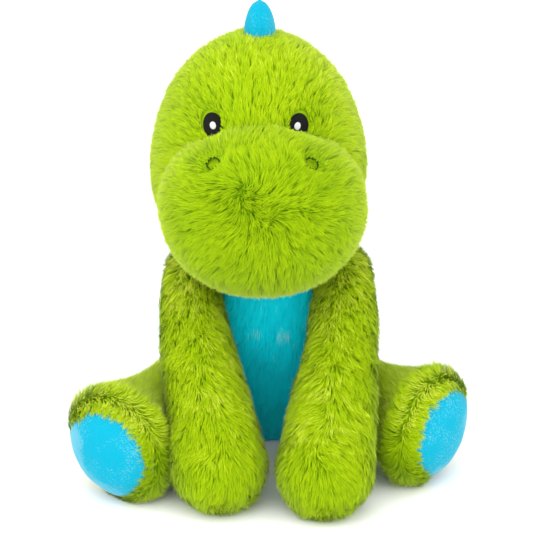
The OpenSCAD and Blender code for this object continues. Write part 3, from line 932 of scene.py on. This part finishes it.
print("legs made")


# torso, belly, seat and neck

def torsoSurface(grow, rows=110, columns=150):
    bottom = -math.asin((torso["belly"] - 0.0015) / torso["low"])
    b = np.linspace(bottom, math.radians(89), rows)[:, None]
    a = np.linspace(0, 2 * math.pi, columns, endpoint=False)[None, :]
    rings = torsoPoint(b, a, grow)
    return ringSurface(rings, rings[0].mean(0), rings[-1].mean(0))


def bellyInside(p):
    # below 1 inside the outline of the belly panel
    q = np.hypot(p[:, 0] / torso["panel"][0], (p[:, 2] - torso["panel"][2]) / torso["panel"][1])
    return np.where(p[:, 1] < torso["middleY"], q, 9)


surface = torsoSurface(-clothDepth)
points, normals = softened(*surface, 0.0008, 50)
isBelly = bellyInside(points)[surface[1]].mean(1) < 1


def patch(points, triangles, chosen, thickness, normals):
    # a shell of the chosen triangles: its outside, its inside, and a wall round the rim
    picked = triangles[chosen]
    used, index = np.unique(picked, return_inverse=True)
    index = index.reshape(picked.shape)
    count = len(used)
    edges = np.concatenate([index[:, [0, 1]], index[:, [1, 2]], index[:, [2, 0]]])
    code = np.minimum(edges[:, 0], edges[:, 1]) * count + np.maximum(edges[:, 0], edges[:, 1])
    where, times = np.unique(code, return_index=True, return_counts=True)[1:]
    rim = edges[where[times == 1]]
    wall = np.concatenate([np.stack([rim[:, 1], rim[:, 0], rim[:, 0] + count], 1),
                           np.stack([rim[:, 1], rim[:, 0] + count, rim[:, 1] + count], 1)])
    outside = points[used]
    inside = outside - normals[used] * thickness
    return np.concatenate([outside, inside]), np.concatenate([index, index[:, ::-1] + count, wall])


place(newMesh("torso_skin", *patch(points, surface[1], ~isBelly, 0.0012, normals), greenCloth), "torso",
      "green_fur", ["torso_cover", "seat_panel"], 0.7)
place(newMesh("belly_skin", *patch(points, surface[1], isBelly, 0.0012, normals), blueCloth), "torso",
      "blue_fur", ["belly_panel"], 0.7)


def torsoComb(p, n):
    # down, wandering a little
    return np.array([0, 0, -1.0]) + 0.25 * noiseVectors(p, 0.03, 71)


def torsoKeep(p, n):
    deepInHead = eggDepth(p, skull) > 0.006
    return (bellyInside(p) > 1.0) & (p[:, 2] > 0.004) & ~deepInHead


def bellyKeep(p, n):
    depth = np.max([limbDepth(p, limbs[name]) for name in limbs], axis=0)
    return (bellyInside(p) <= 1.0) & (depth < 0.001)


torsoCoat = coat((points, surface[1]), normals, torsoComb, 130, limbStyle, keep=torsoKeep)
for i, part in enumerate(splitCoat(torsoCoat)):
    furPiece(f"torso_fur_{i + 1}", "torso", "green_fur", greenFur, [part])
bellyStyle = furStyle | {
    "density": 2.6, "length": 0.0115, "wander": 0.3, "clumpPull": 0.4, "leanRoot": 48, "leanTip": 80,
    "streak": [0.008, 0.085],       # where pale streaks lie: sideways, and height
    "streakSize": [0.016, 0.010],
}


def bellyStreaks(p, n):
    # uneven pale hairs over one oval of the belly
    q = (p[:, [0, 2]] - bellyStyle["streak"]) / bellyStyle["streakSize"]
    near = np.exp(-(q ** 2).sum(1))
    uneven = noise(p * [1, 1, 0.35], 0.0022, 77)
    return 0.9 * near * smoothStep(uneven, -0.1, 0.6)


bellyCoat = coat((points, surface[1]), normals, torsoComb, 131, bellyStyle, keep=bellyKeep,
                 paintedLightAndStreaks=bellyStreaks)
furPiece("belly_fur", "torso", "blue_fur", blueFur, [bellyCoat])

neckBall = {"half": [0.020 - clothDepth] * 3, "middle": pivots["nod"]}
surface = eggSurface(neckBall, 0.0, 40, 56)
points, normals = softened(*surface, 0.0003, 55)
place(newMesh("neck_skin", points, surface[1], greenCloth), "neck", "green_fur", ["neck_cover"], 0.8)
print("torso made")


# tail

limb = limbs["tail"]
surface = limbSurface(limb, -clothDepth)
points, normals = softened(*surface, 0.0006, 56)
place(newMesh("tail_skin", points, surface[1], greenCloth), "tail", "green_fur", ["tail_cover"], 0.75)
tailCoat = coat((points, surface[1]), normals, tailComb(limb), 140, limbStyle,
                keep=lambda p, n: torsoDepth(p) < 0.003)
furPiece("tail_fur", "tail", "green_fur", greenFur, [tailCoat])
print("tail made")


# spikes

spikes = {
    "half": np.array([0.011, 0.0135, 0.024]),
    "root": -25,            # latitude of the cut below the widest part
    "shift": 0.001,
    "seam": 0.0007,         # ridge along the middle, where the two faces are sewn together
    "head": [(0, 1.0), (42, 0.95), (82, 0.85)],         # degrees back from the crown, size
    "back": [(46, 0.85), (20, 0.75)],                   # latitude on the back, size
    "tail": [(0.36, 0.65), (0.78, 0.5)],                # share of the tail's length, size
}


def spikePiece(name, at, outward, size, body, node):
    # half an egg, flatter towards its tip, with a raised seam in its middle plane
    half = spikes["half"] * size - 0.0004
    shape = {"half": half, "middle": np.zeros(3)}
    points, triangles = eggSurface(shape, 0.0, 60, 96, spikes["root"])
    q = points / half
    seam = np.exp(-(q[:, 0] / 0.10) ** 2)
    valley = np.exp(-((np.abs(q[:, 0]) - 0.22) / 0.12) ** 2)
    normals = vertexNormals(points, triangles)
    height = spikes["seam"] * (seam - 0.55 * valley) + 0.0004 * noise(points + at, 0.009, 61)
    pucker = 0.0002 * np.sin(np.arctan2(points[:, 2], points[:, 1]) * 40) * valley
    points = points + normals * (height + pucker)[:, None]
    turn = math.atan2(outward[1], outward[2])
    c, s = math.cos(turn), math.sin(turn)
    x, y, z = points.T
    points = np.stack([x, c * y + s * z, -s * y + c * z], 1)
    place(newMesh(name, points + at, triangles, smoothPlush), body, "smooth_blue_fabric", [node], 0.7)


for i, (angle, size) in enumerate(spikes["head"]):
    s, c = math.sin(math.radians(angle)), math.cos(math.radians(angle))
    half = skull["half"]
    spikePiece(f"head_spike_pad_{i + 1}", skull["middle"] + [spikes["shift"], half[1] * s, half[2] * c],
               (0, s / half[1], c / half[2]), size, "head", f"head_spike_{i + 1}")
for i, (angle, size) in enumerate(spikes["back"]):
    b = math.radians(angle)
    outward = (0, math.cos(b) / torso["half"][1], math.sin(b) / (torso["height"] - torso["belly"]))
    spikePiece(f"back_spike_pad_{i + 1}", torsoPoint(np.array(b), np.array(math.pi / 2)), outward, size,
               "torso", f"back_spike_{i + 1}")
for i, (t, size) in enumerate(spikes["tail"]):
    ahead = unit(slope(limb["path"], t))
    up = unit(np.cross([1, 0, 0], ahead))
    spikePiece(f"tail_spike_pad_{i + 1}", bend(limb["path"], t) + up * bend(tail["radii"], t), up, size,
               "tail", f"tail_spike_{i + 1}")
print("spikes made")


# side tag: one tape folded in half, sewn into the seam and curled a little

tag = {
    "turn": 50,             # place on the torso, in degrees round from the +X side
    "length": 0.016,
    "hem": 0.004,           # part inside the seam
    "height": 0.013,
    "half": 0.0005,         # half thickness of both layers and the gap between them
    "layer": 0.00035,
    "curl": 0.0024,
    "droop": 0.0012,
}


def hairpin(half, steps=24, arc=9):
    # out along one side, round the fold and back: offsets outwards and sideways
    x = np.linspace(-tag["hem"], tag["length"] - tag["half"], steps)
    a = np.radians(np.linspace(80, -80, arc))
    return np.concatenate([np.stack([x, np.full(steps, half)], 1),
                           np.stack([tag["length"] - tag["half"] + half * np.cos(a), half * np.sin(a)], 1),
                           np.stack([x[::-1], np.full(steps, -half)], 1)])


outer, inner = hairpin(tag["half"]), hairpin(tag["half"] - tag["layer"])
levels = np.linspace(-0.5, 0.5, 16)
turn = math.radians(tag["turn"])
outward = np.array([math.cos(turn), math.sin(turn), 0])
aside = np.array([-math.sin(turn), math.cos(turn), 0])
sheets = []
for line in (outer, inner):
    share = np.clip(line[:, :1] / tag["length"], 0, 1)[None]
    x, y = line[None, :, :1], line[None, :, 1:]
    height = levels[:, None, None]
    sheets.append(torsoPoint(np.array(0.0), np.array(turn)) + outward * x
                  + aside * (y + tag["curl"] * share ** 2 * (1 + 0.5 * height))
                  + np.array([0, 0, 1.0]) * (tag["height"] * height - tag["droop"] * share ** 2))
points = np.concatenate([sheet.reshape(-1, 3) for sheet in sheets])
rows, columns = sheets[0].shape[:2]
index = np.arange(2 * rows * columns).reshape(2, rows, columns)


def quads(a, b, c, d):
    # two triangles for each set of four corners
    a, b, c, d = (v.ravel() for v in (a, b, c, d))
    return np.concatenate([np.stack([a, b, c], 1), np.stack([a, c, d], 1)])


front, behind = index
triangles = np.concatenate([
    quads(front[:-1, :-1], front[1:, :-1], front[1:, 1:], front[:-1, 1:]),
    quads(behind[:-1, :-1], behind[:-1, 1:], behind[1:, 1:], behind[1:, :-1]),
    quads(front[0, :-1], front[0, 1:], behind[0, 1:], behind[0, :-1]),
    quads(front[-1, :-1], behind[-1, :-1], behind[-1, 1:], front[-1, 1:]),
    quads(front[:-1, 0], behind[:-1, 0], behind[1:, 0], front[1:, 0]),
    quads(front[:-1, -1], front[1:, -1], behind[1:, -1], behind[:-1, -1]),
])
place(newMesh("side_tag", points, triangles, tagCloth, smooth=False), "torso", "label_fabric",
      ["side_label"])
print("side tag made")


# carried-over parts

finishes = {
    "closing_seam": nostrilThread, "bean_pouch": pouchCloth,
    **{name: fibreFill for name in frame["nodes"] if name.endswith("stuffing")},
}
for name, material in finishes.items():
    node = frame["nodes"][name]
    node.data.materials.clear()
    node.data.materials.append(material)
    part = next(part for part in frame["record"]["subparts"] if part["node"] == name)


# floor, light and camera

studio = {
    "target": Vector((-0.001, -0.020, 0.128)),
    "distance": 1.2,
    "elevation": 20,
    "lens": 122.25,
    "floorHalf": 8.0,
    "world": 1.0,
    "suns": [                       # direction they shine from, strength, softness in degrees
        ((-12, -25, 80), 1.7, 80),
        ((-65, -50, 26), 0.9, 60),
        ((65, -50, 26), 0.9, 60),
        ((0, -80, 8), 0.8, 50),
    ],
}


def aim(holder, back):
    # turned so that it looks or shines away from the direction back
    holder.rotation_mode = "QUATERNION"
    holder.rotation_quaternion = back.to_track_quat("Z", "Y")


e = math.radians(studio["elevation"])
back = Vector((0, -math.cos(e), math.sin(e)))
cameraData = bpy.data.cameras.new("camera")
cameraData.lens = studio["lens"]
cameraData.sensor_width = 36
cameraData.clip_start = 0.05
camera = bpy.data.objects.new("camera", cameraData)
camera.location = studio["target"] + back * studio["distance"]
aim(camera, back)
bpy.context.scene.collection.objects.link(camera)
bpy.context.scene.camera = camera

floorPaper = Nodes("floorPaper").set(Base_Color=(0.93, 0.93, 0.93, 1), Roughness=0.9,
                                     Specular_IOR_Level=0.0)
floorPoints = studio["floorHalf"] * np.array([[-1.0, -1, 0], [1, -1, 0], [1, 1, 0], [-1, 1, 0]])
floor = newMesh("floor", floorPoints, np.array([[0, 1, 2], [0, 2, 3]]), floorPaper)

world = bpy.data.worlds.new("studio")
bpy.context.scene.world = world
world.use_nodes = True
world.node_tree.nodes["Background"].inputs["Color"].default_value = (1, 1, 1, 1)
world.node_tree.nodes["Background"].inputs["Strength"].default_value = studio["world"]
for i, (direction, strength, angle) in enumerate(studio["suns"]):
    sun = bpy.data.lights.new(f"sun_{i}", "SUN")
    sun.energy = strength
    sun.angle = math.radians(angle)
    holder = bpy.data.objects.new(f"sun_{i}", sun)
    aim(holder, Vector(direction).normalized())
    bpy.context.scene.collection.objects.link(holder)
bpy.context.scene.view_settings.view_transform = "Standard"

print("scene made")
